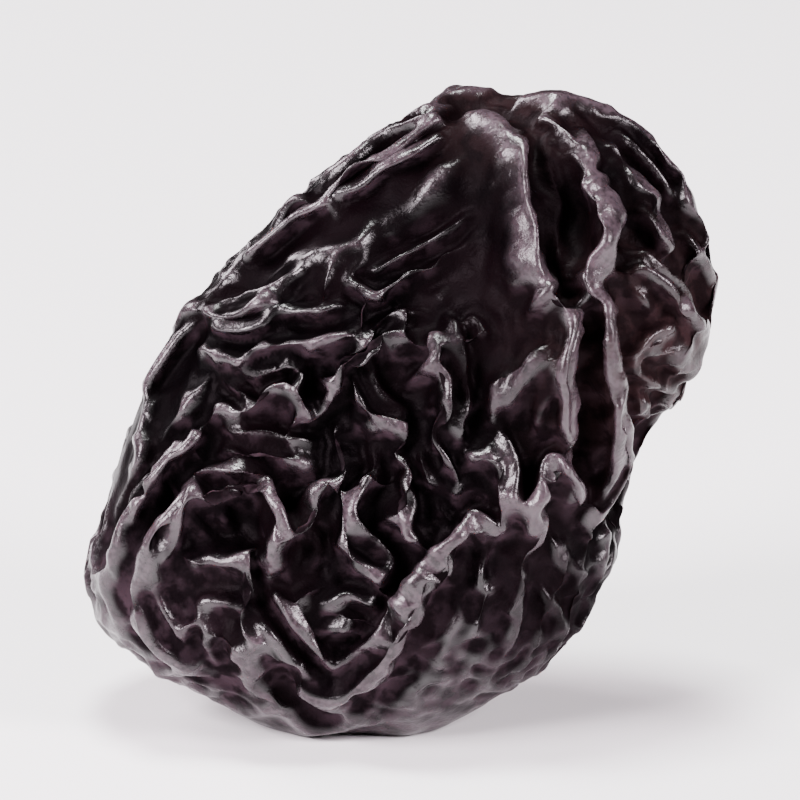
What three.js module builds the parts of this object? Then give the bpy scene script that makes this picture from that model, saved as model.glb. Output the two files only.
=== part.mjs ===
// A pitted prune: a plum dried until its flesh has shrunk away under a skin that keeps its size. The slack
// skin buckles into ridges that run away from the stem end, and it stays taut over the belly it lies on.
// Millimetres, +Z up, with the origin under the middle of the fruit, on the surface that it rests on.
import * as THREE from "three";
import { mergeVertices } from "three/addons/utils/BufferGeometryUtils.js";

// The fruit is laid out face on: x to the right, y up the face, and z out of it towards the viewer. The
// outline is the fruit's edge seen that way, clockwise from the stem end at the top.
const OUTLINE = [
  [5.0, 18.7],
  [9.4, 18.2],
  [13.8, 16.4],
  [17.0, 12.6],
  [18.2, 7.6],
  [17.0, 2.2],
  [14.4, -3.8],
  [11.8, -9.6],
  [9.0, -13.8],
  [5.6, -16.4],
  [1.0, -18.4],
  [-3.8, -18.5],
  [-7.6, -17.8],
  [-11.4, -16.0],
  [-15.0, -13.6],
  [-17.3, -11.0],
  [-17.9, -8.4],
  [-17.1, -4.8],
  [-15.7, -0.6],
  [-13.6, 4.0],
  [-10.4, 8.6],
  [-6.2, 12.4],
  [-1.8, 15.8],
  [1.8, 17.8],
];
const FOLD_ROOM = 0.8; // how far inside it the flesh keeps, for the folds that stand on it
const FRONT_DEPTH = 11.0;
const BACK_DEPTH = 12.5;
const FULLNESS = 2.25; // 2 is an ellipse in depth, more is a fuller cushion
const LEAN_BACK = THREE.MathUtils.degToRad(10);
const LEAN_LEFT = THREE.MathUtils.degToRad(2);
const REST_CUT = 1.4; // how much of the belly is pressed flat where it rests

const STEM_END = [6.0, 18.0];

// Broad hollows where the flesh has sunk: centre on the face, side (1 front, -1 back), radius and depth.
const HOLLOWS = [
  { at: [-3.5, 0.5], side: 1, radius: 8.5, depth: 3.2 },
  { at: [2.2, 10.8], side: 1, radius: 4.4, depth: 2.6 },
  { at: STEM_END, side: 1, radius: 1.6, depth: 1.0 },
  { at: [14.5, -3.0], side: 1, radius: 4.0, depth: 2.0 },
  { at: [7.0, 3.0], side: -1, radius: 8.5, depth: 4.0 },
  { at: [-7.0, -4.0], side: -1, radius: 5.0, depth: 1.4 },
];

// The main folds of the face, each a line over the skin with its height (below 0 for a furrow) and half
// width. They start and end low, and rise to their height over the first and last part of the line.
const FOLD_END = 0.25;
const FOLD_RISE = 4;
const FOLDS = [
  {
    height: 0.9,
    reach: 0.7,
    line: [
      [2.8, 17.9], [-2.2, 15.5], [-5.2, 13.2], [-8.0, 10.8], [-10.2, 8.2], [-12.0, 5.2], [-13.4, 2.2],
      [-14.4, -1.0],
    ],
  },
  { height: -0.6, reach: 0.6, line: [[1.6, 16.9], [-0.8, 15.6], [-3.0, 14.0], [-5.6, 12.4]] },
  {
    height: 1.1,
    reach: 0.7,
    line: [
      [2.4, 16.5], [0.4, 15.2], [-1.4, 14.2], [-2.8, 13.1], [-4.6, 12.4], [-6.6, 10.9],
    ],
  },
  { height: 0.9, reach: 0.65, line: [[4.2, 11.5], [2.6, 10.6], [0.6, 9.8], [-1.2, 8.7], [-2.2, 8.1]] },
  { height: 1.1, reach: 0.7, line: [[-11.2, 6.8], [-9.6, 6.7], [-8.0, 7.3], [-6.2, 8.2]] },
  {
    height: 1.3,
    reach: 0.7,
    line: [
      [-10.8, 5.2], [-8.8, 4.8], [-7.4, 5.4], [-5.4, 5.8], [-3.6, 6.2], [-1.4, 6.9],
    ],
  },
  {
    height: 1.1,
    reach: 0.65,
    line: [
      [-10.4, 1.6], [-8.6, 2.2], [-6.6, 3.1], [-5.8, 2.4], [-6.4, 1.2],
    ],
  },
  { height: 1.3, reach: 0.7, line: [[-10.6, -0.6], [-8.2, -0.8], [-6.4, -0.9], [-4.8, -1.3]] },
  { height: -0.9, reach: 0.6, line: [[-10.6, -1.8], [-8.0, -1.9], [-5.6, -2.1], [-4.0, -2.0]] },
  { height: 0.9, reach: 0.65, line: [[-13.6, -3.0], [-12.6, -1.2], [-11.4, 0.2]] },
  {
    height: 1.6,
    reach: 0.7,
    line: [
      [-13.9, -7.8], [-13.2, -6.2], [-12.4, -4.8], [-11.4, -3.6], [-10.2, -3.0], [-8.6, -3.0],
      [-7.6, -3.8], [-6.9, -5.2], [-6.3, -6.8],
    ],
  },
  { height: -1.7, reach: 1.2, line: [[-10.8, -5.8], [-9.5, -5.3], [-8.4, -6.4]] },
  { height: 0.8, reach: 0.65, line: [[-11.2, -6.8], [-9.8, -6.7], [-8.8, -7.8], [-9.0, -9.0]] },
  { height: 0.8, reach: 0.65, line: [[-15.4, -6.6], [-14.8, -4.8], [-13.9, -3.2]] },
  { height: 1.0, reach: 0.65, line: [[-14.4, -9.2], [-13.4, -10.8], [-12.4, -12.0], [-11.0, -12.6]] },
  {
    height: 0.9,
    reach: 0.65,
    line: [
      [-12.2, -9.6], [-10.4, -10.3], [-9.0, -11.0], [-8.4, -12.4], [-7.8, -14.0],
    ],
  },
  {
    height: 1.3,
    reach: 0.65,
    line: [
      [-8.3, -9.4], [-7.2, -11.0], [-6.2, -12.4], [-5.2, -13.6], [-4.2, -14.8],
    ],
  },
  { height: -0.8, reach: 0.6, line: [[-7.6, -12.4], [-6.6, -13.8], [-5.4, -15.0], [-4.6, -15.8]] },
  { height: 0.9, reach: 0.6, line: [[-6.4, -8.6], [-5.4, -10.4], [-4.3, -11.8], [-3.6, -13.0]] },
  {
    height: 1.7,
    reach: 0.75,
    line: [
      [-3.7, -14.0], [-2.6, -13.3], [-1.6, -12.4], [-0.7, -11.2], [0.4, -9.6], [1.4, -8.2],
      [2.4, -7.0], [3.3, -6.0], [4.3, -5.4], [5.4, -5.6],
    ],
  },
  { height: 1.2, reach: 0.7, line: [[5.6, -5.2], [6.3, -4.0], [6.3, -2.8], [5.9, -1.6], [5.3, -0.4]] },
  { height: 0.8, reach: 0.6, line: [[-4.4, -9.2], [-3.2, -9.8], [-2.0, -10.0], [-1.2, -10.8]] },
  {
    height: 1.1,
    reach: 0.6,
    line: [
      [-1.6, -2.4], [-2.4, -3.8], [-2.9, -5.2], [-2.4, -6.4], [-1.4, -7.6], [-1.0, -9.0],
    ],
  },
  { height: 0.8, reach: 0.6, line: [[-5.8, -5.6], [-4.8, -3.8], [-4.0, -2.9], [-3.4, -1.2]] },
  { height: 0.9, reach: 0.6, line: [[0.2, -0.8], [0.7, -2.4], [0.7, -4.4], [1.2, -6.0]] },
  {
    height: 1.2,
    reach: 0.65,
    line: [
      [-4.6, 2.4], [-3.6, 3.4], [-2.4, 4.4], [-1.2, 5.2], [0.2, 5.8], [1.4, 5.6],
    ],
  },
  { height: 1.0, reach: 0.6, line: [[-1.9, 3.1], [-1.4, 1.8], [-0.6, 0.9], [0.4, 0.2]] },
  {
    height: 1.3,
    reach: 0.65,
    line: [
      [4.4, 5.0], [3.0, 5.2], [2.9, 3.6], [3.2, 1.8], [2.9, 0.2], [3.1, -1.0], [3.6, -2.3],
    ],
  },
  { height: 1.2, reach: 0.65, line: [[8.1, 4.5], [7.2, 3.6], [6.4, 2.4], [6.0, 1.0]] },
  {
    height: 1.4,
    reach: 0.7,
    line: [
      [7.1, -6.4], [7.4, -4.8], [7.6, -3.2], [8.3, -2.0], [9.4, -2.8], [10.2, -4.2],
    ],
  },
  {
    height: 2.1,
    reach: 1.0,
    line: [
      [5.8, 17.2], [6.9, 15.6], [7.5, 13.8], [7.7, 11.8], [7.8, 9.6], [8.4, 8.0], [9.3, 6.4],
      [9.1, 4.8], [8.9, 3.0], [9.1, 1.2], [8.9, -0.8],
    ],
  },
  {
    height: -1.6,
    reach: 0.7,
    line: [
      [8.2, 16.0], [9.3, 13.6], [9.6, 11.6], [9.7, 9.4], [10.1, 7.6], [10.4, 5.6], [10.5, 3.6],
      [10.6, 1.4], [10.6, -0.6], [10.6, -2.8],
    ],
  },
  {
    height: 2.1,
    reach: 0.75,
    line: [
      [8.4, 17.0], [10.2, 15.0], [11.1, 13.4], [11.6, 11.6], [11.4, 9.8], [11.2, 8.2], [11.5, 6.6],
      [11.6, 4.8], [11.6, 3.2], [11.9, 1.4], [12.1, -0.4], [12.0, -2.4], [11.5, -3.8],
      [10.8, -4.9],
    ],
  },
  { height: 1.1, reach: 0.65, line: [[12.6, 9.2], [13.6, 8.4], [14.8, 7.0], [15.8, 6.0], [17.2, 4.8]] },
  { height: 0.9, reach: 0.6, line: [[13.2, 3.4], [14.4, 4.6], [15.6, 4.0], [16.4, 2.6]] },
  {
    height: 0.9,
    reach: 0.65,
    line: [
      [8.2, 17.4], [10.8, 16.2], [12.8, 14.4], [14.2, 12.4], [15.2, 10.0],
    ],
  },
  {
    height: 0.9,
    reach: 0.65,
    line: [
      [7.6, 18.2], [10.8, 17.6], [13.2, 16.0], [15.4, 14.0], [16.8, 11.4],
    ],
  },
];

// The skin is left slack as the flesh shrinks: along the fruit it shrinks with the flesh, across it less so.
const LENGTHWISE_SHARE = 0.6;
// Patches where it is tauter or slacker than elsewhere: centre on the face, side, radius and the share of the
// slack that is there.
const SLACK_PATCHES = [
  { at: [1.0, 11.5], side: 1, radius: 4.0, share: 0.15 },
  { at: [-8.0, 9.5], side: 1, radius: 4.5, share: 0.4 },
  { at: [-17.0, -9.5], side: 1, radius: 4.5, share: 0.25 },
  { at: [-12.0, -15.0], side: 1, radius: 4.5, share: 0.2 },
  { at: [-12.0, -15.0], side: -1, radius: 6.0, share: 0.2 },
  { at: [3.0, -15.0], side: 1, radius: 7.5, share: 0.1 },
  { at: [3.0, -15.0], side: -1, radius: 8.0, share: 0.1 },
  { at: [13.5, 1.0], side: 1, radius: 5.0, share: 0.7 },
  { at: [-5.0, -4.0], side: 1, radius: 8.0, share: 1.6 },
  { at: [4.0, 2.0], side: -1, radius: 9.0, share: 1.5 },
];

// The skin wrinkles in two stages, first in broad folds and then in finer ones on them. Stiffer skin and
// softer flesh make broader folds.
const DRYING = [
  { steps: 300, slack: 0.13, bending: 0.16, pull: 0.008, grip: 0.004 },
  { steps: 450, slack: 0.3, bending: 0.06, pull: 0.03, grip: 0.032 },
];
const SKIN_STIFFNESS = 0.6;
const FLESH_PUSH = 0.35; // the flesh can't be pressed in
const FULL_SLACK_AT = 0.8; // the share of a stage's steps by which all its slack is there
const FIRST_UNEVENNESS = 0.2; // what the skin starts to buckle from
const STEEPEST = 0.35; // cosine of the steepest slope on a fold, past which the skin eases back
const EASE_EVERY = 5;
const EASE = 0.35;
const SEED = 7;

// The triangles: a ball of them is evened out over the cushion, a little finer on the wrinkled face.
const DETAIL = 23;
const EVENING_STEPS = 60;
const FINE_FACE = { at: [0, 0], radius: 15, extra: 1.3 };
const SLIDE_STEPS = 12;
const SLIDE = 0.5;
const SMOOTH_ROUNDS = 2;
const SMOOTH_IN = 0.5;
const SMOOTH_OUT = -0.52;
const SAME_POINT = 1e-5;
const OUTLINE_STEPS = 360;
const PATH_STEPS = 5; // for each point of a fold's line
const PATH_ROOM = 3; // half widths from a fold at which it has died out
const RIM_SHARE = 0.985; // how near to the outline a point of the face can be placed

// A seeded stream of numbers from 0 to 1.
function randomStream(seed) {
  let state = seed >>> 0;
  return () => {
    state = (state + 0x6d2b79f5) >>> 0;
    let t = Math.imul(state ^ (state >>> 15), 1 | state);
    t = (t + Math.imul(t ^ (t >>> 7), 61 | t)) ^ t;
    return ((t ^ (t >>> 14)) >>> 0) / 4294967296;
  };
}

// The outline's distance from the middle, at any angle round it.
function outlineRadii() {
  const loop = new THREE.CatmullRomCurve3(OUTLINE.map(([x, y]) => new THREE.Vector3(x, y, 0)), true);
  const polar = loop.getPoints(OUTLINE_STEPS).map((p) => {
    return [Math.atan2(p.y, p.x), Math.hypot(p.x, p.y) - FOLD_ROOM];
  });
  polar.sort((one, other) => one[0] - other[0]);
  const [first, last] = [polar[0], polar[polar.length - 1]];
  polar.unshift([last[0] - 2 * Math.PI, last[1]]);
  polar.push([first[0] + 2 * Math.PI, first[1]]);
  return (angle) => {
    let low = 0;
    let high = polar.length - 1;
    while (high - low > 1) {
      const middle = (low + high) >> 1;
      if (polar[middle][0] > angle) high = middle;
      else low = middle;
    }
    const [[from, near], [to, far]] = [polar[low], polar[high]];
    return near + ((far - near) * (angle - from)) / Math.max(to - from, 1e-9);
  };
}
const outlineRadius = outlineRadii();

// The plain cushion of flesh, without hollows or folds, in a direction from its middle.
function cushionPoint(direction) {
  const angle = Math.atan2(direction.y, direction.x);
  const across = Math.hypot(direction.x, direction.y) ** (2 / FULLNESS);
  const depth = direction.z > 0 ? FRONT_DEPTH : BACK_DEPTH;
  const radius = outlineRadius(angle) * across;
  return new THREE.Vector3(
    radius * Math.cos(angle),
    radius * Math.sin(angle),
    Math.sign(direction.z) * depth * Math.abs(direction.z) ** (2 / FULLNESS),
  );
}

// The direction that gives a point of the cushion.
function cushionDirection({ x, y, z }) {
  const angle = Math.atan2(y, x);
  const across = Math.min(1, Math.hypot(x, y) / outlineRadius(angle)) ** (FULLNESS / 2);
  const depth = z > 0 ? FRONT_DEPTH : BACK_DEPTH;
  const up = Math.sign(z) * Math.min(1, Math.abs(z) / depth) ** (FULLNESS / 2);
  return new THREE.Vector3(across * Math.cos(angle), across * Math.sin(angle), up).normalize();
}

// The point of the cushion over or under a point of the face.
function cushionOver([x, y], side) {
  const angle = Math.atan2(y, x);
  const share = Math.min(Math.hypot(x, y) / outlineRadius(angle), RIM_SHARE);
  const depth = side > 0 ? FRONT_DEPTH : BACK_DEPTH;
  const z = side * depth * (1 - share ** FULLNESS) ** (1 / FULLNESS);
  const radius = outlineRadius(angle) * share;
  return new THREE.Vector3(radius * Math.cos(angle), radius * Math.sin(angle), z);
}

function bell(distance, reach) {
  return Math.exp(-((distance / reach) ** 2));
}

// A closed triangle mesh with what the drying needs: each edge once, and each point's neighbours.
function sphereMesh() {
  const ball = new THREE.IcosahedronGeometry(1, DETAIL);
  ball.deleteAttribute("normal");
  ball.deleteAttribute("uv");
  const merged = mergeVertices(ball, SAME_POINT);
  const faces = Array.from(merged.index.array);
  const count = merged.attributes.position.count;
  const near = Array.from({ length: count }, () => new Set());
  for (let i = 0; i < faces.length; i += 3) {
    const [a, b, c] = faces.slice(i, i + 3);
    near[a].add(b).add(c);
    near[b].add(a).add(c);
    near[c].add(a).add(b);
  }
  const edges = [];
  near.forEach((others, a) => {
    for (const b of others) if (b > a) edges.push([a, b]);
  });
  const directions = [];
  for (let i = 0; i < count; i += 1) {
    directions.push(new THREE.Vector3().fromBufferAttribute(merged.attributes.position, i).normalize());
  }
  return { faces, edges, near: near.map((others) => [...others]), directions };
}

// The mean of each point's neighbours, by weight if they have one.
function neighbourMeans(points, near, weights) {
  return near.map((others) => {
    const mean = new THREE.Vector3();
    let total = 0;
    for (const j of others) {
      const weight = weights ? weights[j] : 1;
      mean.addScaledVector(points[j], weight);
      total += weight;
    }
    return mean.divideScalar(total);
  });
}

// The plain cushion, with its triangles evened out and drawn in a little towards the wrinkled face.
function evenCushion({ near, directions }) {
  const face = cushionOver(FINE_FACE.at, 1);
  let points = directions.map(cushionPoint);
  for (let step = 0; step < EVENING_STEPS; step += 1) {
    const weights = points.map((p) => 1 + FINE_FACE.extra * bell(p.distanceTo(face), FINE_FACE.radius));
    points = neighbourMeans(points, near, weights).map(cushionDirection).map(cushionPoint);
  }
  return points;
}

function pointNormals(points, faces) {
  const normals = points.map(() => new THREE.Vector3());
  const side = new THREE.Vector3();
  const other = new THREE.Vector3();
  for (let i = 0; i < faces.length; i += 3) {
    const [a, b, c] = faces.slice(i, i + 3);
    side.subVectors(points[b], points[a]);
    other.subVectors(points[c], points[a]);
    side.cross(other);
    for (const corner of [a, b, c]) normals[corner].add(side);
  }
  return normals.map((n) => n.normalize());
}

// How far a point is from a path, and how far along the path that is, from 0 to 1.
function nearestOnPath(p, path) {
  const piece = new THREE.Line3();
  const found = new THREE.Vector3();
  let best = { gap: Infinity, along: 0 };
  for (let i = 0; i + 1 < path.length; i += 1) {
    piece.set(path[i], path[i + 1]);
    const share = piece.closestPointToPointParameter(p, true);
    const gap = piece.at(share, found).distanceTo(p);
    if (gap < best.gap) best = { gap, along: (i + share) / (path.length - 1) };
  }
  return best;
}

// The shrunken flesh: the cushion with its hollows sunk and its main folds raised.
function fleshPoints(mesh) {
  const cushion = evenCushion(mesh);
  const normals = pointNormals(cushion, mesh.faces);
  const folds = FOLDS.map(({ line, height, reach }) => {
    const flat = new THREE.CatmullRomCurve3(line.map(([x, y]) => new THREE.Vector3(x, y, 0)));
    const path = flat.getSpacedPoints(line.length * PATH_STEPS).map((p) => cushionOver([p.x, p.y], 1));
    const room = new THREE.Box3().setFromPoints(path).expandByScalar(PATH_ROOM * reach);
    return { path, height, reach, room };
  });
  return cushion.map((p, i) => {
    let lift = 0;
    for (const { at, side, radius, depth } of HOLLOWS) {
      lift -= depth * bell(p.distanceTo(cushionOver(at, side)), radius);
    }
    for (const { path, height, reach, room } of folds) {
      if (!room.containsPoint(p)) continue;
      const { gap, along } = nearestOnPath(p, path);
      const fade = Math.min(1, FOLD_END + FOLD_RISE * Math.min(along, 1 - along));
      lift += height * fade * bell(gap, reach);
    }
    return p.clone().addScaledVector(normals[i], lift);
  });
}

// The share of the slack that a point of the skin gets.
function slackAt(p) {
  let slack = 1;
  for (const { at, side, radius, share } of SLACK_PATCHES) {
    slack *= 1 + (share - 1) * bell(p.distanceTo(cushionOver(at, side)), radius);
  }
  return slack;
}

// Slides the points along the surface until its triangles are even again.
function slideEven(points, { faces, near }, steps) {
  for (let step = 0; step < steps; step += 1) {
    const normals = pointNormals(points, faces);
    const means = neighbourMeans(points, near);
    points.forEach((p, i) => {
      const slide = means[i].sub(p);
      p.addScaledVector(slide.addScaledVector(normals[i], -slide.dot(normals[i])), SLIDE);
    });
  }
  return points;
}

// Takes out what is finer than the triangles can carry: each round pulls the points in and pushes them back.
function smoothOut(points, { near }, rounds) {
  for (let round = 0; round < rounds; round += 1) {
    for (const share of [SMOOTH_IN, SMOOTH_OUT]) {
      const means = neighbourMeans(points, near);
      points.forEach((p, i) => p.lerp(means[i], share));
    }
  }
  return points;
}

// Smooths the skin where a fold would turn over.
function easeFolds(skin, normals, { faces, near }) {
  const slopes = pointNormals(skin, faces);
  const means = neighbourMeans(skin, near);
  skin.forEach((p, i) => {
    if (slopes[i].dot(normals[i]) < STEEPEST) p.lerp(means[i], EASE);
  });
}

// One stage of drying: the skin's edges outgrow the surface they lie on, step by step, until it buckles.
function wrinkle(ground, mesh, { steps, slack, bending, pull, grip }, random) {
  const { faces, edges, near } = mesh;
  const normals = pointNormals(ground, faces);
  const stem = cushionOver(STEM_END, 1);
  const skin = ground.map((p, i) => p.clone().addScaledVector(normals[i], FIRST_UNEVENNESS * random()));
  const springs = edges.map(([a, b]) => {
    const along = new THREE.Vector3().subVectors(ground[b], ground[a]);
    const rest = along.length();
    along.normalize();
    const away = new THREE.Vector3().subVectors(ground[a], stem);
    away.addScaledVector(normals[a], -away.dot(normals[a])).normalize();
    const share = 1 - (1 - LENGTHWISE_SHARE) * along.dot(away) ** 2;
    return { a, b, rest, growth: slack * slackAt(ground[a]) * share };
  });
  const span = new THREE.Vector3();
  const curving = (points) => neighbourMeans(points, near).map((mean, i) => mean.sub(points[i]));
  for (let step = 0; step < steps; step += 1) {
    const grown = Math.min(1, step / (FULL_SLACK_AT * steps));
    for (const { a, b, rest, growth } of springs) {
      span.subVectors(skin[b], skin[a]);
      const length = span.length();
      const excess = length - rest * (1 + growth * grown);
      span.multiplyScalar((0.5 * SKIN_STIFFNESS * excess) / length);
      skin[a].add(span);
      skin[b].sub(span);
    }
    const rise = skin.map((p, i) => new THREE.Vector3().subVectors(p, ground[i]));
    const spring = curving(curving(rise));
    skin.forEach((p, i) => {
      const height = rise[i].dot(normals[i]);
      p.addScaledVector(spring[i], -bending);
      p.addScaledVector(rise[i], -grip);
      p.addScaledVector(normals[i], -height * (height < 0 ? FLESH_PUSH : pull));
    });
    if (step % EASE_EVERY === 0) easeFolds(skin, normals, mesh);
  }
  return skin;
}

// Turns the face up by the lean, presses the rest spot flat and stands the fruit on it.
function standUp(points) {
  for (const p of points) {
    p.set(p.x, -p.z, p.y);
    p.applyAxisAngle(new THREE.Vector3(0, 1, 0), -LEAN_LEFT);
    p.applyAxisAngle(new THREE.Vector3(1, 0, 0), -LEAN_BACK);
  }
  const floor = Math.min(...points.map((p) => p.z)) + REST_CUT;
  for (const p of points) p.z = Math.max(p.z, floor) - floor;
  const box = new THREE.Box3().setFromPoints(points);
  const middle = box.getCenter(new THREE.Vector3());
  for (const p of points) {
    p.x -= middle.x;
    p.y -= middle.y;
  }
  return points;
}

const mesh = sphereMesh();
const random = randomStream(SEED);
let skin = fleshPoints(mesh);
for (const stage of DRYING) {
  skin = slideEven(smoothOut(skin, mesh, SMOOTH_ROUNDS), mesh, SLIDE_STEPS);
  skin = wrinkle(skin, mesh, stage, random);
}
skin = smoothOut(skin, mesh, SMOOTH_ROUNDS);
const points = standUp(skin);
const geometry = new THREE.BufferGeometry().setFromPoints(points);
geometry.setIndex(mesh.faces);
geometry.computeVertexNormals();

const skinMaterial = new THREE.MeshStandardMaterial({ color: 0x1c1216, roughness: 0.35, metalness: 0 });
const prune = new THREE.Mesh(geometry, skinMaterial);
prune.name = "prune";

const part = new THREE.Group();
part.add(prune);
export default part;
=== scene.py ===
import bpy
import numpy as np
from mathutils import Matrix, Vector


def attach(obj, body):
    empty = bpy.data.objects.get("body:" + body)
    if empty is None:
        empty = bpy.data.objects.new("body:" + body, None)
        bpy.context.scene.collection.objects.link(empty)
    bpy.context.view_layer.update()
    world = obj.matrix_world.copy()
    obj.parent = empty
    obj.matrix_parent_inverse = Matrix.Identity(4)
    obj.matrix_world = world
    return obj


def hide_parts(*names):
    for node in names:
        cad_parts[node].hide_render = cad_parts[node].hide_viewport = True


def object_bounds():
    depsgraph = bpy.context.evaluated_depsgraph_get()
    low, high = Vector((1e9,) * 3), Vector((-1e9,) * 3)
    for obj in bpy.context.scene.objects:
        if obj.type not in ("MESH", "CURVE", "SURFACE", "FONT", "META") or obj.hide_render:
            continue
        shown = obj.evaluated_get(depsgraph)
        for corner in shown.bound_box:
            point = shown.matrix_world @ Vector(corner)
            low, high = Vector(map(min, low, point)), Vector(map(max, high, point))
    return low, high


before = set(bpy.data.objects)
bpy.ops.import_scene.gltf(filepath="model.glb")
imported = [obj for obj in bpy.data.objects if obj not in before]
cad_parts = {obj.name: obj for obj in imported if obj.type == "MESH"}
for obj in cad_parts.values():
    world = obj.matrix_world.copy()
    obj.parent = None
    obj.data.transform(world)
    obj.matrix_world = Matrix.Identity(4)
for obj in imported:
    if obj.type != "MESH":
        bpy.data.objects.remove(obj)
cad_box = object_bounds()

# The prune: a plum dried whole and pitted, so its dark skin lies slack over shrunken flesh. It is one grown
# piece. The broad folds are those of the solid; here its skin is divided finer and dried on, so that it
# wrinkles again at the size of a millimetre and less between and across those folds. The skin's lengths are
# in mm, and MM turns them into the scene's metres.
MM = 0.001
WELD_MM = 1e-3

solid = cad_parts["prune"]
count = len(solid.data.vertices)
loose = np.empty(3 * count)
solid.data.vertices.foreach_get("co", loose)
corners = np.empty(3 * len(solid.data.polygons), dtype=int)
solid.data.loops.foreach_get("vertex_index", corners)
loose = loose.reshape(-1, 3) / MM
keys, first, which = np.unique(
    np.round(loose / WELD_MM).astype(np.int64), axis=0, return_index=True, return_inverse=True
)
points = loose[first]
faces = which.reshape(-1)[corners].reshape(-1, 3)


def edges_of(faces):
    """Each edge once, and for each face the numbers of its three edges."""
    pairs = np.sort(np.concatenate([faces[:, [0, 1]], faces[:, [1, 2]], faces[:, [2, 0]]]), axis=1)
    span = faces.max() + 1
    keys, which = np.unique(pairs[:, 0] * span + pairs[:, 1], return_inverse=True)
    return np.stack([keys // span, keys % span], axis=1), which.reshape(3, -1)


def gathered(index, values, count):
    """For each number in the index, the sum of the values that carry it."""
    return np.stack([np.bincount(index, values[:, k], count) for k in range(3)], axis=1)


END_SHARE = 3 / 8
ACROSS_SHARE = 1 / 8
AROUND_SHARE = 3 / 8


def divided(points, faces):
    """The same surface with each triangle cut in four, smoothed as it goes."""
    edges, sides = edges_of(faces)
    count = len(points)
    ends = points[edges].sum(axis=1)
    across = sum(gathered(sides[k], points[faces[:, (k + 2) % 3]], len(edges)) for k in range(3))
    middles = END_SHARE * ends + ACROSS_SHARE * across
    valence = np.bincount(edges.ravel(), minlength=count)
    around = gathered(edges[:, 0], points[edges[:, 1]], count)
    around += gathered(edges[:, 1], points[edges[:, 0]], count)
    share = (AROUND_SHARE / valence)[:, None]
    kept = points * (1 - valence[:, None] * share) + share * around
    a, b, c = faces.T
    ab, bc, ca = sides + count
    quarters = [(a, ab, ca), (b, bc, ab), (c, ca, bc), (ab, bc, ca)]
    return np.concatenate([kept, middles]), np.concatenate([np.stack(q, axis=1) for q in quarters])


def neighbours(faces, count):
    """Each point's six neighbours, or five and itself, and how many they are."""
    edges, _ = edges_of(faces)
    both = np.concatenate([edges, edges[:, ::-1]])
    both = both[np.argsort(both[:, 0], kind="stable")]
    valence = np.bincount(both[:, 0], minlength=count)
    column = np.arange(len(both)) - np.repeat(np.cumsum(valence) - valence, valence)
    near = np.repeat(np.arange(count)[:, None], valence.max(), axis=1)
    near[both[:, 0], column] = both[:, 1]
    return near, valence[:, None]


def normals_of(points, faces):
    """Which way the surface faces at each point."""
    a, b, c = points[faces].transpose(1, 0, 2)
    normal = np.cross(b - a, c - a)
    summed = sum(gathered(faces[:, k], normal, len(points)) for k in range(3))
    return summed / np.linalg.norm(summed, axis=1, keepdims=True)


def smoothed(values, near, valence, rounds):
    """Each point's value, or place, spread into its neighbours."""
    for _ in range(rounds):
        values = (values[near].sum(axis=1) - values * (near.shape[1] - valence)) / valence
    return values


def risen(values, start, end):
    """0 up to the start, 1 from the end on, and a straight rise between."""
    return np.clip((values - start) / (end - start), 0, 1)


def broad_normals(points, faces, rounds):
    """Which way the surface faces at each point, without its small forms."""
    near, valence = neighbours(faces, len(points))
    return normals_of(smoothed(points, near, valence, rounds), faces)


SKIN_STIFFNESS = 0.4
FLESH_PUSH = 0.3
FULL_SLACK_AT = 0.8
FIRST_BUMPS = 0.15
LEAST_LENGTH = 1e-9


def dried(ground, faces, slack, bending, pull, grip, steps, seed):
    """The skin after it has outgrown the ground by its slack, a share of each length, and buckled."""
    near, valence = neighbours(faces, len(ground))
    normals = normals_of(ground, faces)
    reach = ground[near] - ground[:, None]
    rest = np.linalg.norm(reach, axis=2)
    flat = reach.sum(axis=1) / valence
    growth = (slack[near] + slack[:, None]) / 2
    noise = np.random.default_rng(seed).random(len(ground))
    skin = ground + normals * (FIRST_BUMPS * rest.mean() * noise)[:, None]
    for step in range(steps):
        wanted = rest * (1 + growth * min(1, step / (FULL_SLACK_AT * steps)))
        span = skin[near] - skin[:, None]
        length = np.linalg.norm(span, axis=2) + LEAST_LENGTH
        skin = skin + np.einsum("ijk,ij->ik", span, 0.5 * SKIN_STIFFNESS * (length - wanted) / length)
        bend = span.sum(axis=1) / valence - flat
        spring = bend[near].sum(axis=1) + bend * (valence - near.shape[1]) - bend * valence
        rise = skin - ground
        height = (rise * normals).sum(axis=1)
        press = height * np.where(height < 0, FLESH_PUSH, pull)
        skin = skin - bending * spring / valence - grip * rise - normals * press[:, None]
    return skin


ROUNDING = (0.5, -0.52)


def rounded(points, faces, rounds):
    """The surface without its sharpest bends, and not shrunk: each round pulls it in and pushes it back."""
    near, valence = neighbours(faces, len(points))
    for _ in range(rounds):
        for share in ROUNDING:
            points = points + share * (smoothed(points, near, valence, 1) - points)
    return points


# Along the upper left edge the skin is taut over the rim: x and z of points on it. There and on the back it
# is smoothed, and pushed out again by what that takes off. A turn is how far the skin faces the back, at the
# start and at the end of a change.
RIM = [(-16.0, 14.5), (-15.0, 18.0), (-13.0, 21.5), (-10.5, 25.0), (-7.5, 28.5), (-4.0, 32.0)]
RIM_RADIUS = 3.0
RIM_ROUNDS = 80
RIM_PUSH = 0.5
BACK_ROUNDS = 14
BACK_PUSH = 0.15
BACK_TURN = (0.0625, 0.6875)
RIM_TURN = (-0.48, -0.08)
FACE_TURN = (-0.3, 0.2)


def behind(outward):
    """1 on the back and 0 on the face."""
    return risen(outward[:, 1], *BACK_TURN)


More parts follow.
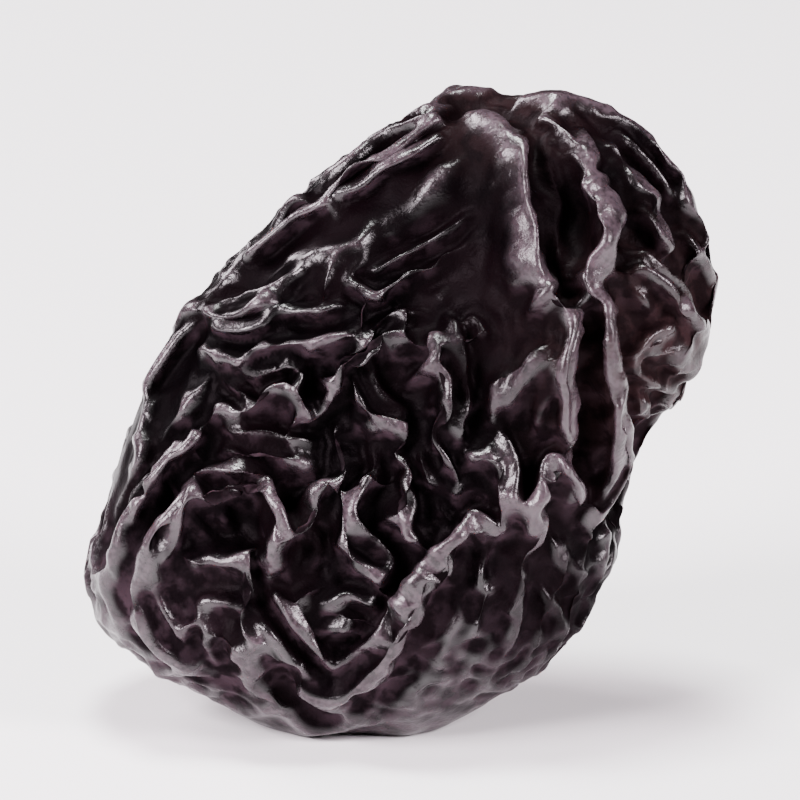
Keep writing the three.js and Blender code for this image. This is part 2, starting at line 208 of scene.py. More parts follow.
def calmed(points, faces):
    """The surface with its back and its rim smoothed."""
    near, valence = neighbours(faces, len(points))
    soft = smoothed(points, near, valence, BACK_ROUNDS)
    calm = smoothed(soft, near, valence, RIM_ROUNDS)
    normals = normals_of(calm, faces)
    points = points + behind(normals)[:, None] * (soft + BACK_PUSH * normals - points)
    gap = np.min([np.hypot(points[:, 0] - x, points[:, 2] - z) for x, z in RIM], axis=0)
    share = np.exp(-((gap / RIM_RADIUS) ** 2)) * risen(normals[:, 1], *RIM_TURN)
    return points + share[:, None] * (calm + RIM_PUSH * normals - points)


def spot(points, normals, x, z, radius):
    """1 at a place on the face, seen flat, and 0 away from it."""
    away = (points[:, 0] - x) ** 2 + (points[:, 2] - z) ** 2
    return np.exp(-away / radius**2) * risen(-normals[:, 1], *FACE_TURN)


# Where the skin of the face stays taut or wrinkles more: x, z and radius of the patch, and how much of the
# slack it has.
FINE_PATCHES = [
    (1.8, 30.4, 4.0, 0.15),
    (-5.7, 27.8, 4.0, 0.4),
    (5.7, 4.2, 7.0, 0.85),
    (0.0, 16.5, 8.0, 1.35),
    (-9.9, 6.5, 5.0, 1.3),
    (15.5, 26.0, 6.0, 1.35),
    (-16.0, 14.5, 3.5, 0.3),
    (-13.5, 20.5, 3.5, 0.3),
    (-10.0, 25.5, 3.5, 0.3),
    (-5.5, 31.0, 4.0, 0.3),
    (-12.5, 3.5, 4.0, 0.7),
]
FOOT_HEIGHT = 3.0


def fineness(points, faces):
    """Each point's share of slack: 1 on most of the skin, and 0 on the spot that the fruit rests on."""
    normals = normals_of(points, faces)
    share = np.ones(len(points))
    for x, z, radius, left in FINE_PATCHES:
        share *= 1 + (left - 1) * spot(points, normals, x, z, radius)
    return share * risen(points[:, 2], 0, FOOT_HEIGHT)


# The small ridges of the face, as the camera sees it: height, reach to each side, and the points of a line to
# the right of the middle and up from it. A height below 0 is a groove. The ridges are too narrow for the
# solid, and stand on its folds and between them. Beside each one the skin sinks a little.
SMALL_RIDGES = [
    # Along the two long ridges.
    (0.6, 0.405, [(6.9, 15.0), (7.0, 13.2), (7.1, 11.6), (7.5, 10.4), (7.7, 9.0), (7.6, 7.6)]),
    (0.6, 0.405, [(8.2, 14.8), (8.4, 12.8), (8.8, 11.0), (8.6, 9.6), (8.9, 8.0), (9.3, 6.8)]),
    (0.5, 0.405, [(8.9, 6.7), (8.1, 6.1), (7.5, 5.0)]),
    (0.7, 0.405, [(9.9, 5.4), (9.7, 4.0), (9.4, 2.6), (9.2, 1.2), (9.4, 0.0), (9.3, -1.2), (9.4, -2.4)]),
    (0.55, 0.36, [(8.5, 3.3), (7.5, 2.3), (6.7, 1.1), (6.1, -0.2)]),
    (0.45, 0.405, [(10.2, 12.0), (11.0, 12.5), (11.9, 12.4)]),
    (0.8, 0.54, [(11.9, 11.4), (11.9, 10.0), (11.6, 8.8), (11.6, 7.2)]),
    (0.75, 0.378, [(11.4, 6.4), (11.8, 4.8), (11.8, 3.0), (11.9, 1.6), (12.3, 0.4), (12.3, -1.0),
                   (12.3, -2.4), (12.1, -4.0), (11.3, -5.5)]),
    # Across the right flank.
    (0.8, 0.405, [(12.6, 8.6), (14.0, 7.6), (15.2, 6.4), (16.4, 4.9), (17.4, 4.0)]),
    (0.5, 0.36, [(16.1, 9.4), (17.0, 8.2), (17.6, 7.0)]),
    (0.5, 0.36, [(15.4, 4.2), (14.2, 3.8), (13.2, 2.7)]),
    (0.5, 0.36, [(13.1, 1.7), (14.2, 1.1), (15.4, 0.8)]),
    (0.65, 0.36, [(12.4, 15.0), (13.5, 13.9), (14.6, 12.8), (15.2, 11.6)]),
    (0.6, 0.36, [(14.9, 14.7), (15.8, 13.5), (16.7, 12.4)]),
    (0.6, 0.36, [(10.2, 15.2), (10.8, 14.0), (11.3, 13.2)]),
    (0.6, 0.36, [(13.4, 10.8), (14.4, 10.0), (15.2, 8.8)]),
    (0.35, 0.36, [(13.2, 5.9), (14.0, 5.2), (14.4, 4.8)]),
    # On the face, near its middle.
    (0.6, 0.36, [(2.6, 4.6), (3.2, 3.8), (3.4, 2.6), (3.5, 1.2), (3.7, 0.0), (3.2, -1.0), (3.2, -2.0),
                 (4.2, -3.3)]),
    (0.45, 0.36, [(3.2, 4.2), (4.2, 4.4), (4.8, 3.4)]),
    (0.5, 0.36, [(0.7, 1.1), (1.6, 1.8), (2.1, 2.7)]),
    (0.6, 0.378, [(-1.5, 7.2), (0.0, 8.0), (1.2, 8.6), (2.4, 9.2), (3.8, 10.3)]),
    (0.5, 0.36, [(-3.4, 2.2), (-2.2, 3.0), (-1.4, 4.0), (-0.2, 4.7), (1.4, 4.8)]),
    # On the smooth panel and along the rim.
    (0.8, 0.36, [(2.2, 14.9), (0.6, 14.0), (-1.0, 13.3), (-2.2, 12.2), (-3.4, 11.8)]),
    (0.7, 0.36, [(-4.4, 11.3), (-6.0, 10.3), (-7.4, 9.2), (-8.6, 8.2)]),
    (0.75, 0.36, [(2.8, 16.5), (0.8, 15.6), (-1.0, 14.8), (-2.6, 13.6), (-4.6, 12.3)]),
    # On the face, left of its middle.
    (0.5, 0.36, [(-10.9, 5.2), (-9.4, 5.4), (-8.2, 5.7), (-6.8, 6.4), (-5.6, 7.3)]),
    (0.55, 0.36, [(-10.6, 4.2), (-9.2, 4.0), (-7.8, 4.2)]),
    (0.55, 0.36, [(-6.4, 5.0), (-4.8, 5.0), (-3.2, 5.3)]),
    (0.5, 0.36, [(-2.9, 6.7), (-2.1, 6.2), (-1.0, 5.6)]),
    (0.5, 0.36, [(-11.7, 4.3), (-12.8, 3.2), (-13.8, 1.8), (-14.6, 0.6)]),
    (0.55, 0.36, [(-8.6, 1.2), (-7.2, 1.8), (-6.2, 2.2), (-5.6, 1.5), (-6.0, 0.4)]),
    (0.45, 0.36, [(-9.8, 1.1), (-9.0, 0.6), (-8.4, -0.2)]),
    (0.4, 0.36, [(-4.6, 1.4), (-3.8, 0.9)]),
    (0.5, 0.36, [(-1.8, 2.4), (-1.5, 1.2), (-0.9, 0.2), (0.3, -0.7)]),
    (0.55, 0.378, [(-9.8, -1.6), (-8.0, -1.9), (-6.6, -2.2), (-4.8, -2.4)]),
    (0.5, 0.378, [(-11.3, -1.7), (-12.0, -2.5), (-12.8, -3.2)]),
    # The arch at the lower left, and what stands beside and inside it.
    (0.75, 0.378, [(-12.6, -7.6), (-12.5, -6.4), (-12.0, -5.2)]),
    (0.95, 0.45, [(-12.0, -5.2), (-11.0, -4.3), (-9.6, -3.9), (-8.3, -4.1), (-7.4, -4.8)]),
    (0.7, 0.378, [(-7.9, -4.5), (-7.3, -5.6), (-6.8, -6.5), (-6.2, -7.6)]),
    (0.45, 0.36, [(-13.7, -4.0), (-14.7, -5.2), (-15.2, -6.6)]),
    (0.35, 0.405, [(-12.5, -7.8), (-13.4, -8.9)]),
    (0.4, 0.36, [(-10.2, -6.3), (-9.3, -7.6)]),
    (0.4, 0.36, [(-11.9, -6.9), (-10.8, -7.7)]),
    # Low down on the left.
    (0.45, 0.36, [(-13.9, -10.6), (-13.2, -11.8), (-12.6, -12.7), (-11.9, -13.8)]),
    (0.45, 0.36, [(-10.9, -12.9), (-10.8, -13.8), (-10.3, -14.8)]),
    (0.4, 0.45, [(-11.2, -11.4), (-9.8, -11.4), (-8.6, -11.8)]),
    (0.6, 0.378, [(-7.6, -10.1), (-6.6, -11.6), (-5.8, -12.8), (-5.0, -13.8), (-3.9, -15.0)]),
    (0.4, 0.36, [(-8.0, -12.2), (-7.2, -13.2), (-6.0, -14.6), (-4.6, -15.8)]),
    # The step above the belly, and the small ridges in its bend.
    (0.8, 0.405, [(-3.6, -15.0), (-2.4, -14.2), (-1.2, -13.4), (-0.4, -12.2), (0.6, -10.8), (1.4, -9.6),
                  (2.4, -8.4), (3.4, -7.6), (4.2, -6.6), (5.6, -7.1)]),
    (0.55, 0.36, [(-4.2, -11.5), (-3.0, -11.0), (-2.0, -11.2), (-1.1, -11.9)]),
    (0.4, 0.36, [(-4.5, -13.1), (-3.2, -12.8), (-2.1, -13.3)]),
    # On the face, below its middle.
    (0.6, 0.36, [(-1.4, -2.8), (-1.3, -4.0), (-2.2, -5.0), (-2.8, -6.2), (-2.2, -7.4), (-1.2, -8.2),
                 (-0.4, -9.2), (-1.4, -10.2)]),
    (0.4, 0.36, [(-5.9, -6.2), (-4.8, -5.2), (-3.8, -4.4)]),
    (0.4, 0.36, [(-5.2, -7.2), (-4.6, -8.4), (-5.2, -9.4)]),
    (0.5, 0.36, [(1.1, -2.9), (1.6, -4.0), (2.0, -5.0)]),
    (0.45, 0.36, [(0.1, -4.4), (0.7, -5.8), (0.3, -7.4), (1.3, -8.1)]),
    (0.4, 0.36, [(2.0, -5.8), (2.5, -6.6)]),
    (0.55, 0.36, [(5.4, -1.3), (6.1, -2.7), (6.6, -4.2), (6.3, -5.8)]),
    # At the foot of the long ridges, and on the belly.
    (0.8, 0.378, [(7.4, -7.2), (7.9, -5.6), (8.0, -4.2), (8.6, -3.2), (9.4, -3.8), (10.3, -5.4)]),
    (0.5, 0.36, [(8.1, 0.2), (7.8, -0.8), (7.9, -1.6)]),
    (0.35, 0.36, [(4.7, -8.2), (4.4, -10.2)]),
    (0.3, 0.45, [(6.9, -9.8), (6.6, -12.0), (6.2, -13.8)]),
    (0.3, 0.45, [(7.6, -10.2), (8.8, -12.0), (9.2, -13.2)]),
    # Grooves: inside the arch, beside it, and between the two long ridges.
    (-0.8, 0.9, [(-11.2, -9.2), (-10.0, -9.9), (-8.8, -10.0)]),
    (-0.5, 0.72, [(-10.9, -6.0), (-9.6, -5.8), (-8.3, -6.2)]),
    (-0.9, 0.45, [(-12.6, -3.4), (-13.2, -5.4), (-13.5, -7.2), (-13.9, -9.0)]),
    (-0.6, 0.45, [(9.6, 13.4), (9.8, 11.0), (9.9, 9.0), (10.5, 7.0), (10.8, 4.0), (10.9, 1.0),
                  (11.0, -2.0)]),
]
CAMERA_RISE = np.radians(15)
CURVE_STEPS = 4
LINE_END = 0.3
LINE_RISE = 3.5
SIDE_DEPTH = 1.3
SIDE_REACH = 2.6
LINE_WINDOW = 5.56
LIFT_ROUNDS = 12
FULL_FACING = 1 / 3


def curve(line):
    """A smooth path through the points of a line."""
    line = np.array(line)
    path = np.concatenate([[2 * line[0] - line[1]], line, [2 * line[-1] - line[-2]]])
    t = (np.arange(CURVE_STEPS) / CURVE_STEPS)[:, None]
    pieces = []
    for a, b, c, d in zip(path, path[1:], path[2:], path[3:]):
        pieces.append(b + 0.5 * t * (c - a + t * (2 * a - 5 * b + 4 * c - d + t * (3 * (b - c) + d - a))))
    return np.concatenate([*pieces, line[-1:]])


def line_lift(seen, line, reach, side_depth):
    """How much a ridge along the line lifts each place, as a share of its height. It is low at its ends."""
    path = curve(line)
    start = path[:-1]
    step = np.diff(path, axis=0)
    away = seen[:, None] - start
    share = np.clip((away * step).sum(axis=2) / (step**2).sum(axis=1), 0, 1)
    gap = np.linalg.norm(away - share[..., None] * step, axis=2)
    nearest = gap.argmin(axis=1)
    rows = np.arange(len(seen))
    along = (nearest + share[rows, nearest]) / len(step)
    ends = np.minimum(1, LINE_END + LINE_RISE * np.minimum(along, 1 - along))
    gap = gap[rows, nearest] / reach
    return ends * ((1 + side_depth) * np.exp(-(gap**2)) - side_depth * np.exp(-((gap / SIDE_REACH) ** 2)))


def ridged(points, faces):
    """The surface with the small ridges raised on the side that the camera sees."""
    normals = broad_normals(points, faces, LIFT_ROUNDS)
    middle = points.min(axis=0) / 2 + points.max(axis=0) / 2
    to_camera = np.array([0, -np.cos(CAMERA_RISE), np.sin(CAMERA_RISE)])
    upwards = np.array([0, np.sin(CAMERA_RISE), np.cos(CAMERA_RISE)])
    seen = np.stack([points[:, 0] - middle[0], (points - middle) @ upwards], axis=1)
    facing = risen(normals @ to_camera, 0, FULL_FACING)
    lift = np.zeros(len(points))
    for height, reach, line in SMALL_RIDGES:
        low = np.min(line, axis=0) - LINE_WINDOW * reach
        high = np.max(line, axis=0) + LINE_WINDOW * reach
        near = np.flatnonzero((facing > 0) & (seen > low).all(axis=1) & (seen < high).all(axis=1))
        side_depth = SIDE_DEPTH if height > 0 else 0
        lift[near] += height * line_lift(seen[near], line, reach, side_depth)
    return points + normals * (lift * facing)[:, None]


FIRST_ROUNDING = 3
FIRST_SLACK = 0.24
BACK_SLACK_LOSS = 0.5
BACK_SHAPE_ROUNDS = 40
WRINKLE_ROUNDING = 2
OUTWARD_ROUNDS = 30


def store(mesh, name, values):
    """Gives each point of the mesh its value, under the name."""
    attribute = mesh.attributes.new(name, "FLOAT", "POINT")
    attribute.data.foreach_set("value", values.astype(np.float32))


points, faces = divided(points, faces)
points = rounded(points, faces, FIRST_ROUNDING)
slack = FIRST_SLACK * fineness(points, faces)
slack *= 1 - BACK_SLACK_LOSS * behind(broad_normals(points, faces, BACK_SHAPE_ROUNDS))
points = dried(points, faces, slack, bending=0.1, pull=0.045, grip=0.02, steps=240, seed=3)
points = rounded(points, faces, WRINKLE_ROUNDING)
points = calmed(points, faces)
points, faces = divided(points, faces)
points = ridged(points, faces)
outward = broad_normals(points, faces, OUTWARD_ROUNDS)

plain_mesh = bpy.data.meshes.new("plain_skin")
plain_mesh.from_pydata((points * MM).tolist(), [], faces.tolist())
plain_mesh.polygons.foreach_set("use_smooth", np.ones(len(faces), dtype=bool))
store(plain_mesh, "fineness", fineness(points, faces))
store(plain_mesh, "behind", behind(outward))
attribute = plain_mesh.attributes.new("outward", "FLOAT_VECTOR", "POINT")
attribute.data.foreach_set("vector", outward.astype(np.float32).ravel())

# The skin's finish is a near-black plum brown. What stands up is paler, partly as bloom and partly as a
# painted highlight, and carries a moist gloss, and the hollows stay dark and dull, which is partly painted
# shade. The belly and the right flank are a little lighter, in a mottled way; on the belly, which faces down,
# that is partly painted light bounced up from the floor.
skin_finish = bpy.data.materials.new("dried_plum_skin")
skin_finish.use_nodes = True
nodes = skin_finish.node_tree.nodes
links = skin_finish.node_tree.links
shader = nodes["Principled BSDF"]
coordinates = nodes.new("ShaderNodeTexCoord")


def attribute_out(name):
    """The value that the skin's points carry under the name."""
    node = nodes.new("ShaderNodeAttribute")
    node.attribute_name = name
    return node.outputs["Fac"]


def ramp(value, span, result=(0.0, 1.0)):
    """A soft step: the value runs over the span, and what it gives runs over the result."""
    node = nodes.new("ShaderNodeMapRange")
    node.interpolation_type = "SMOOTHSTEP"
    for socket, number in zip(("From Min", "From Max", "To Min", "To Max"), (*span, *result)):
        node.inputs[socket].default_value = number
    links.new(value, node.inputs["Value"])
    return node.outputs["Result"]


def worked_out(kind, one, other):
    """One step of arithmetic on outputs or plain numbers."""
    node = nodes.new("ShaderNodeMath")
    node.operation = kind
    for socket, value in zip(node.inputs, (one, other)):
        if isinstance(value, float):
            socket.default_value = value
        else:
            links.new(value, socket)
    return node.outputs[0]


def total(one, other):
    return worked_out("ADD", one, other)


def product(*values):
    result = values[0]
    for value in values[1:]:
        result = worked_out("MULTIPLY", result, value)
    return result


def mixed(share, low, high):
    """The colour high, laid by the share over low, which is a colour or an output."""
    node = nodes.new("ShaderNodeMix")
    node.data_type = "RGBA"
    links.new(share, node.inputs["Factor"])
    node.inputs[7].default_value = (*high, 1)
    if isinstance(low, tuple):
        node.inputs[6].default_value = (*low, 1)
    else:
        links.new(low, node.inputs[6])
    return node.outputs[2]


def grain(size_mm, detail=3.0, rough=0.5):
    """A cloudy pattern in the skin, with forms about as wide as the size."""
    node = nodes.new("ShaderNodeTexNoise")
    node.inputs["Scale"].default_value = 1 / (size_mm * MM)
    node.inputs["Detail"].default_value = detail
    node.inputs["Roughness"].default_value = rough
    links.new(coordinates.outputs["Object"], node.inputs["Vector"])
    return node.outputs["Fac"]


DARK = (0.0006, 0.0003, 0.0005)
BROWN = (0.0018, 0.0008, 0.0012)
CREST_BLOOM_AND_HIGHLIGHT = (0.040, 0.028, 0.034)
BELLY_AND_BOUNCED_LIGHT = (0.036, 0.022, 0.029)
FLANK = (0.022, 0.011, 0.012)
SHEEN = (1.0, 0.87, 0.93)
SHEEN_LEVEL = 0.017
COAT_SPREAD = 0.25
BUMP_STRENGTH = 0.45
BUMP_HEIGHT = 0.08
FLESH_SHARE = 0.03
FLESH_GLOW = (1.0, 0.35, 0.25)
FLESH_DEPTH = 0.8

fine_rise = attribute_out("fine")
broad_rise = attribute_out("broad")
facing_down = attribute_out("down")
# Dull skin loses its pale crests and its gloss, and is darker; in part this is painted shade.
neither_dull_nor_shaded = ramp(attribute_out("dull_and_shaded"), (0.0, 1.0), (1.0, 0.0))

colour = mixed(ramp(grain(5.0), (0.4, 0.65)), DARK, BROWN)
# The lighter, mottled colour where the skin faces down or lies low is partly a greyer, matt belly and partly
# painted light bounced up from the floor.
colour = mixed(product(facing_down, ramp(grain(1.1), (0.4, 0.6), (0.15, 0.85))), colour, BELLY_AND_BOUNCED_LIGHT)
colour = mixed(product(attribute_out("flank"), ramp(grain(1.1), (0.42, 0.58), (0.3, 0.8))), colour, FLANK)
# The paler colour on raised skin is partly bloom and partly a painted highlight; the dark left in the hollows
# is partly painted shade.
crest_patchiness = ramp(grain(1.2), (0.35, 0.6), (0.35, 1.0))
speckled = ramp(grain(0.3, detail=2.0), (0.35, 0.6), (0.45, 1.0))
crest_bloom_and_highlight = product(ramp(broad_rise, (0.2, 1.1)), ramp(fine_rise, (0.1, 1.1)), crest_patchiness, speckled, neither_dull_nor_shaded)
colour = mixed(crest_bloom_and_highlight, colour, CREST_BLOOM_AND_HIGHLIGHT)
# Pale patches on raised skin: partly bloom, partly a painted highlight.
colour = mixed(product(attribute_out("pale_and_highlight"), ramp(grain(0.9), (0.35, 0.6), (0.25, 0.9))), colour, CREST_BLOOM_AND_HIGHLIGHT)
links.new(colour, shader.inputs["Base Color"])

roughness = total(ramp(grain(3.0), (0.35, 0.65), (0.4, 0.6)), product(facing_down, 0.16))
links.new(roughness, shader.inputs["Roughness"])
shader.inputs["Specular IOR Level"].default_value = SHEEN_LEVEL
shader.inputs["Specular Tint"].default_value = (*SHEEN, 1)

standing = total(total(broad_rise, product(fine_rise, 0.35)), product(facing_down, 0.5))
moist = product(ramp(standing, (-0.1, 1.0)), ramp(grain(1.6), (0.3, 0.6), (0.55, 1.0)), neither_dull_nor_shaded)
links.new(moist, shader.inputs["Coat Weight"])
shader.inputs["Coat Roughness"].default_value = COAT_SPREAD

bump = nodes.new("ShaderNodeBump")
bump.inputs["Strength"].default_value = BUMP_STRENGTH
bump.inputs["Distance"].default_value = BUMP_HEIGHT * MM
pores = grain(0.22, rough=0.6)
links.new(total(pores, product(grain(0.6, detail=2.0), 1.2)), bump.inputs["Height"])
links.new(bump.outputs["Normal"], shader.inputs["Normal"])
links.new(bump.outputs["Normal"], shader.inputs["Coat Normal"])

shader.inputs["Subsurface Weight"].default_value = FLESH_SHARE
shader.inputs["Subsurface Radius"].default_value = FLESH_GLOW
shader.inputs["Subsurface Scale"].default_value = FLESH_DEPTH * MM

# More ridges follow the skin: thin winding ones all over, and thicker ones on the back, which run from the
# stem end down. Each is raised outwards and broken up here and there.
NOISE_MIDDLE = 0.5
NOISE_DETAIL = 0.5
BREAKS = (0.35, 0.5)

ridges = bpy.data.node_groups.new("winding_ridges", "GeometryNodeTree")
sockets = {}
for name, kind in (
    ("Skin", "Geometry"),
    ("Share", "String"),
    ("Spacing", "Float"),
    ("Stretch", "Float"),
    ("Height", "Float"),
    ("Width", "Float"),
    ("Break Spacing", "Float"),
    ("Seed", "Float"),
):
    sockets[name] = ridges.interface.new_socket(name, in_out="INPUT", socket_type="NodeSocket" + kind)
ridges.interface.new_socket("Ridged Skin", in_out="OUTPUT", socket_type="NodeSocketGeometry")


def ridge_node(kind, wires, **settings):
    """A node of the tree, with its sockets wired or set."""
    node = ridges.nodes.new(kind)
    for name, value in settings.items():
        setattr(node, name, value)
    for socket, value in wires.items():
        if isinstance(value, bpy.types.NodeSocket):
            ridges.links.new(value, node.inputs[socket])
        else:
            node.inputs[socket].default_value = value
    return node.outputs


def ridge_math(kind, *values):
    """One step of arithmetic on outputs or plain numbers."""
    return ridge_node("ShaderNodeMath", dict(enumerate(values)), operation=kind)[0]


def ridge_noise(spacing):
    """A cloudy pattern, with forms about as wide as the spacing."""
    scale = ridge_math("DIVIDE", 1.0, spacing)
    wires = {"Vector": stretched, "W": given["Seed"], "Scale": scale, "Detail": NOISE_DETAIL}
    return ridge_node("ShaderNodeTexNoise", wires, noise_dimensions="4D")["Fac"]


def ridge_ramp(value, low, high, to_low, to_high):
    """A soft step, from to_low at low to to_high at high."""
    wires = {"Value": value, "From Min": low, "From Max": high, "To Min": to_low, "To Max": to_high}
    return ridge_node("ShaderNodeMapRange", wires, interpolation_type="SMOOTHSTEP")[0]


given = ridge_node("NodeGroupInput", {})
upright = ridge_math("DIVIDE", 1.0, given["Stretch"])
squeeze = ridge_node("ShaderNodeCombineXYZ", {0: 1.0, 1: 1.0, 2: upright})[0]
position = ridge_node("GeometryNodeInputPosition", {})[0]
stretched = ridge_node("ShaderNodeVectorMath", {0: position, 1: squeeze}, operation="MULTIPLY")[0]
off_line = ridge_math("ABSOLUTE", ridge_math("SUBTRACT", ridge_noise(given["Spacing"]), NOISE_MIDDLE))
on_line = ridge_ramp(off_line, 0.0, given["Width"], 1.0, 0.0)
unbroken = ridge_ramp(ridge_noise(given["Break Spacing"]), *BREAKS, 0.0, 1.0)
share = ridge_node("GeometryNodeInputNamedAttribute", {"Name": given["Share"]})["Attribute"]
ridge_line = ridge_math("MULTIPLY", on_line, unbroken)
ridge_height = ridge_math("MULTIPLY", ridge_line, ridge_math("MULTIPLY", share, given["Height"]))
outward_name = {"Name": "outward"}
outward_node = ridge_node("GeometryNodeInputNamedAttribute", outward_name, data_type="FLOAT_VECTOR")
offset_wires = {0: outward_node["Attribute"], "Scale": ridge_height}
offset = ridge_node("ShaderNodeVectorMath", offset_wires, operation="SCALE")[0]
moved = ridge_node("GeometryNodeSetPosition", {"Geometry": given["Skin"], "Offset": offset})[0]
single = ridge_node("GeometryNodeRealizeInstances", {"Geometry": moved})[0]
finished = ridge_node("GeometryNodeSetMaterial", {"Geometry": single, "Material": skin_finish})[0]
ridge_node("NodeGroupOutput", {"Ridged Skin": finished})

plain_skin = bpy.data.objects.new("plain_skin", plain_mesh)
bpy.context.scene.collection.objects.link(plain_skin)
THICK_RIDGES = {
    "Share": "behind",
    "Spacing": 3.4 * MM,
    "Stretch": 1.7,
    "Height": 0.65 * MM,
    "Width": 0.1,
    "Break Spacing": 7.0 * MM,
    "Seed": 2.0,
}
THIN_RIDGES = {
    "Share": "fineness",
    "Spacing": 1.9 * MM,
    "Stretch": 1.0,
    "Height": 0.2 * MM,
    "Width": 0.1,
    "Break Spacing": 3.0 * MM,
    "Seed": 5.0,
}
for title, sizes in (("thick_ridges", THICK_RIDGES), ("thin_ridges", THIN_RIDGES)):
    modifier = plain_skin.modifiers.new(title, "NODES")
    modifier.node_group = ridges
    for name, value in sizes.items():
        modifier[sockets[name].identifier] = value
evaluated = plain_skin.evaluated_get(bpy.context.evaluated_depsgraph_get())
skin_mesh = bpy.data.meshes.new_from_object(evaluated)
plain_skin.modifiers.clear()
bpy.data.objects.remove(plain_skin)

# The ridged skin dries on once more, which wrinkles it between the ridges. Its tallest crests are pressed
# down, as those of a packed fruit are.
BASE_ROUNDS = 60
TALL = 0.4
PRESSED_SHARE = 0.6
LAST_SLACK = 0.16
LAST_ROUNDING = 4


def pressed(points, faces):
    """The surface with its tallest crests lowered."""
    near, valence = neighbours(faces, len(points))
    base = smoothed(points, near, valence, BASE_ROUNDS)
    outward = normals_of(base, faces)
    too_tall = np.maximum(((points - base) * outward).sum(axis=1) - TALL, 0)
    return points - PRESSED_SHARE * too_tall[:, None] * outward


placed = np.empty(3 * len(skin_mesh.vertices))
skin_mesh.vertices.foreach_get("co", placed)
points = placed.reshape(-1, 3) / MM
slack = LAST_SLACK * fineness(points, faces)
points = dried(points, faces, slack, bending=0.1, pull=0.03, grip=0.02, steps=160, seed=4)
points = rounded(points, faces, LAST_ROUNDING)
points = rounded(pressed(points, faces), faces, 1)
points[:, 2] = np.maximum(points[:, 2], 0)
skin_mesh.vertices.foreach_set("co", (points * MM).ravel())

# What the skin's finish reads at each point: how far it stands out of the fine and of the broad forms around
# it, whether it faces down or lies low, and where it is dull, pale or browner. Facing down or lying low makes
# it lighter, partly as painted light bounced from the floor; dull makes it duller and darker, and on the
# lower right of the belly that is painted shade from the fruit beside it; pale is partly painted highlight. A
# patch is its x, z, radius and share. The stem end is browner too.
FINE_ROUNDS = 8
FINE_SOFTENING = 2
FINE_RISE = 0.05
BROAD_SOFTENING = 4
BROAD_RISE = 0.4
DOWN_TURN = (1 / 15, 11 / 15)
# Patches that count as lying low take the lighter belly colour too, which partly paints light bounced from
# the floor.
LOW_PATCHES = [(-15.5, 7.0, 4.0, 0.8), (5.0, 4.0, 6.0, 0.5)]
BACK_DULLNESS = 0.6
# Duller, darker patches; the one on the lower right of the belly is painted shade from the fruit beside it.
SHADE_AND_DULL_PATCHES = [
    (4.5, 30.0, 4.0, 0.75),
    (4.8, 24.5, 4.0, 0.85),
    (-1.5, 26.0, 3.5, 0.4),
    (9.5, 8.0, 4.5, 0.8),
    (15.0, 22.0, 5.5, 0.4),
]
# Pale patches, on raised skin only, are partly bloom and partly a painted highlight.
FULL_PALE_RISE = 0.25
PALE_AND_HIGHLIGHT_PATCHES = [
    (9.2, 15.0, 3.0, 1.0),
    (9.6, 19.0, 2.5, 1.0),
    (9.0, 30.0, 3.0, 0.8),
    (4.5, 36.5, 2.0, 0.6),
    (-7.6, 19.0, 2.0, 0.45),
    (-12.0, 13.2, 2.5, 0.8),
]
FLANK_PATCHES = [(15.0, 22.0, 5.5, 1.0)]
STEM_END = (5.5, 36.0)
STEM_REACH = (5.0, 2.5)
STEM_SHARE = 0.5


def standing_out(points, faces, rounds, softening):
    """How far each point stands out of the surface smoothed by the rounds."""
    near, valence = neighbours(faces, len(points))
    base = smoothed(points, near, valence, rounds)
    rise = ((points - base) * normals_of(points, faces)).sum(axis=1, keepdims=True)
    return smoothed(rise, near, valence, softening).ravel()


def patched(points, normals, patches):
    """The largest share that any of the patches gives each point."""
    return np.max([share * spot(points, normals, *patch) for *patch, share in patches], axis=0)


normals = normals_of(points, faces)
fine = standing_out(points, faces, FINE_ROUNDS, FINE_SOFTENING)
broad = standing_out(points, faces, BASE_ROUNDS, BROAD_SOFTENING)
dull_and_shaded = np.maximum(BACK_DULLNESS * behind(normals), patched(points, normals, SHADE_AND_DULL_PATCHES))
down = np.maximum(risen(-normals[:, 2], *DOWN_TURN), patched(points, normals, LOW_PATCHES))
pale_and_highlight = patched(points, normals, PALE_AND_HIGHLIGHT_PATCHES) * risen(broad, 0, FULL_PALE_RISE)
from_stem = (points[:, [0, 2]] - STEM_END) / STEM_REACH
stem_end = STEM_SHARE * np.exp(-(from_stem**2).sum(axis=1))
shares = {
    "fine": fine / FINE_RISE,
    "broad": broad / BROAD_RISE,
    "down": down * (1 - dull_and_shaded),
    "dull_and_shaded": dull_and_shaded,
    "pale_and_highlight": pale_and_highlight,
    "flank": np.maximum(patched(points, normals, FLANK_PATCHES), stem_end),
}
for name, values in shares.items():
    store(skin_mesh, name, values)
skin_mesh.update()
skin = bpy.data.objects.new("prune_skin", skin_mesh)
bpy.context.scene.collection.objects.link(skin)

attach(skin, "root")
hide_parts("prune")

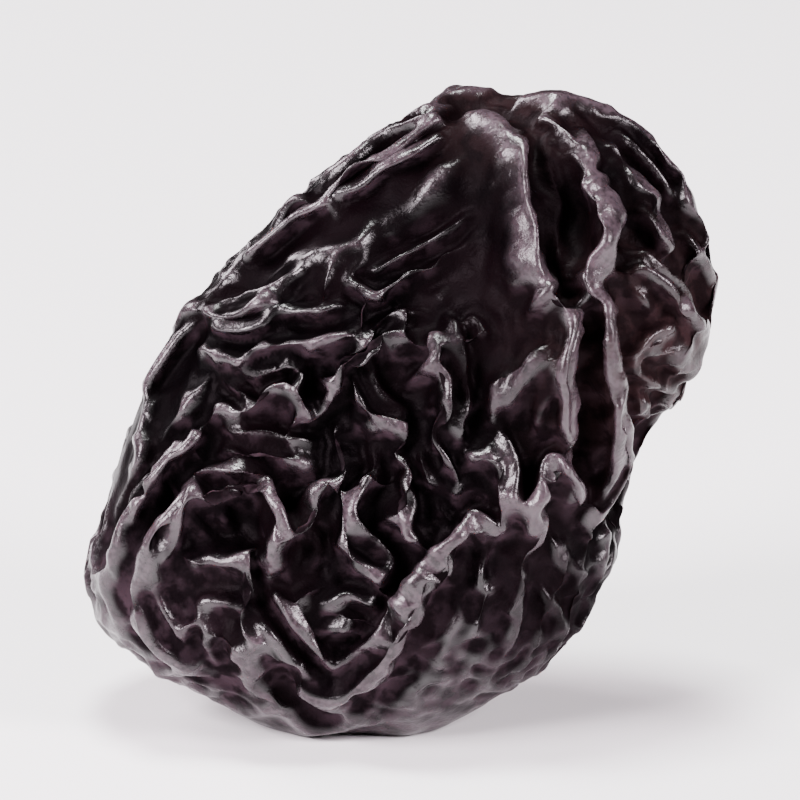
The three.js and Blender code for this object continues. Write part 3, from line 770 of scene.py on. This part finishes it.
# The floor: a plain pale matt surface that the fruit stands on.
FLOOR_WIDTH = 4
PALE_GREY = (0.82, 0.82, 0.82)
MATT = 0.8
bpy.ops.mesh.primitive_plane_add(size=FLOOR_WIDTH)
floor = bpy.context.object
floor.name = "floor"
floor_finish = bpy.data.materials.new("pale_floor")
floor_finish.use_nodes = True
floor_shader = floor_finish.node_tree.nodes["Principled BSDF"]
floor_shader.inputs["Base Color"].default_value = (*PALE_GREY, 1)
floor_shader.inputs["Roughness"].default_value = MATT
floor.data.materials.append(floor_finish)

# The light: a broad soft lamp overhead, a pinkish one on each side, and one at the back left, which gives the
# upper left rim its bright line. The surrounding is dim.
PINKISH = (1, 0.88, 0.95)
SURROUNDING = 0.02
middle = (Vector(cad_box[0]) + Vector(cad_box[1])) / 2


def soft_lamp(name, place, size, power, tint=(1, 1, 1)):
    """A square lamp that faces the middle of the fruit and isn't seen itself."""
    lamp = bpy.data.lights.new(name, "AREA")
    lamp.color = tint
    lamp.size = size
    lamp.energy = power
    holder = bpy.data.objects.new(name, lamp)
    bpy.context.scene.collection.objects.link(holder)
    holder.location = place
    holder.rotation_euler = (middle - Vector(place)).to_track_quat("-Z", "Y").to_euler()
    holder.visible_camera = False


soft_lamp("overhead", (-0.05, 0.05, 0.70), 0.2, 11.0)
soft_lamp("left", (-0.33, -0.28, 0.26), 0.22, 9.0, PINKISH)
soft_lamp("right", (0.36, -0.26, 0.24), 0.16, 5.5, PINKISH)
soft_lamp("back_left", (-0.36, 0.27, 0.30), 0.2, 4.0, PINKISH)
world = bpy.data.worlds.new("surrounding")
bpy.context.scene.world = world
world.use_nodes = True
background = world.node_tree.nodes["Background"]
background.inputs["Color"].default_value = (1, 1, 1, 1)
background.inputs["Strength"].default_value = SURROUNDING

# The camera looks as the photograph does: face on, a little from above, through a long lens.
CAMERA_AWAY = 0.6
VIEW_WIDTH = 0.0457
lens = bpy.data.cameras.new("camera")
lens.lens = lens.sensor_width * CAMERA_AWAY / VIEW_WIDTH
camera = bpy.data.objects.new("camera", lens)
bpy.context.scene.collection.objects.link(camera)
away = Vector((0, -np.cos(CAMERA_RISE), np.sin(CAMERA_RISE))) * CAMERA_AWAY
camera.location = middle + away
camera.rotation_euler = (-away).to_track_quat("-Z", "Y").to_euler()
bpy.context.scene.camera = camera
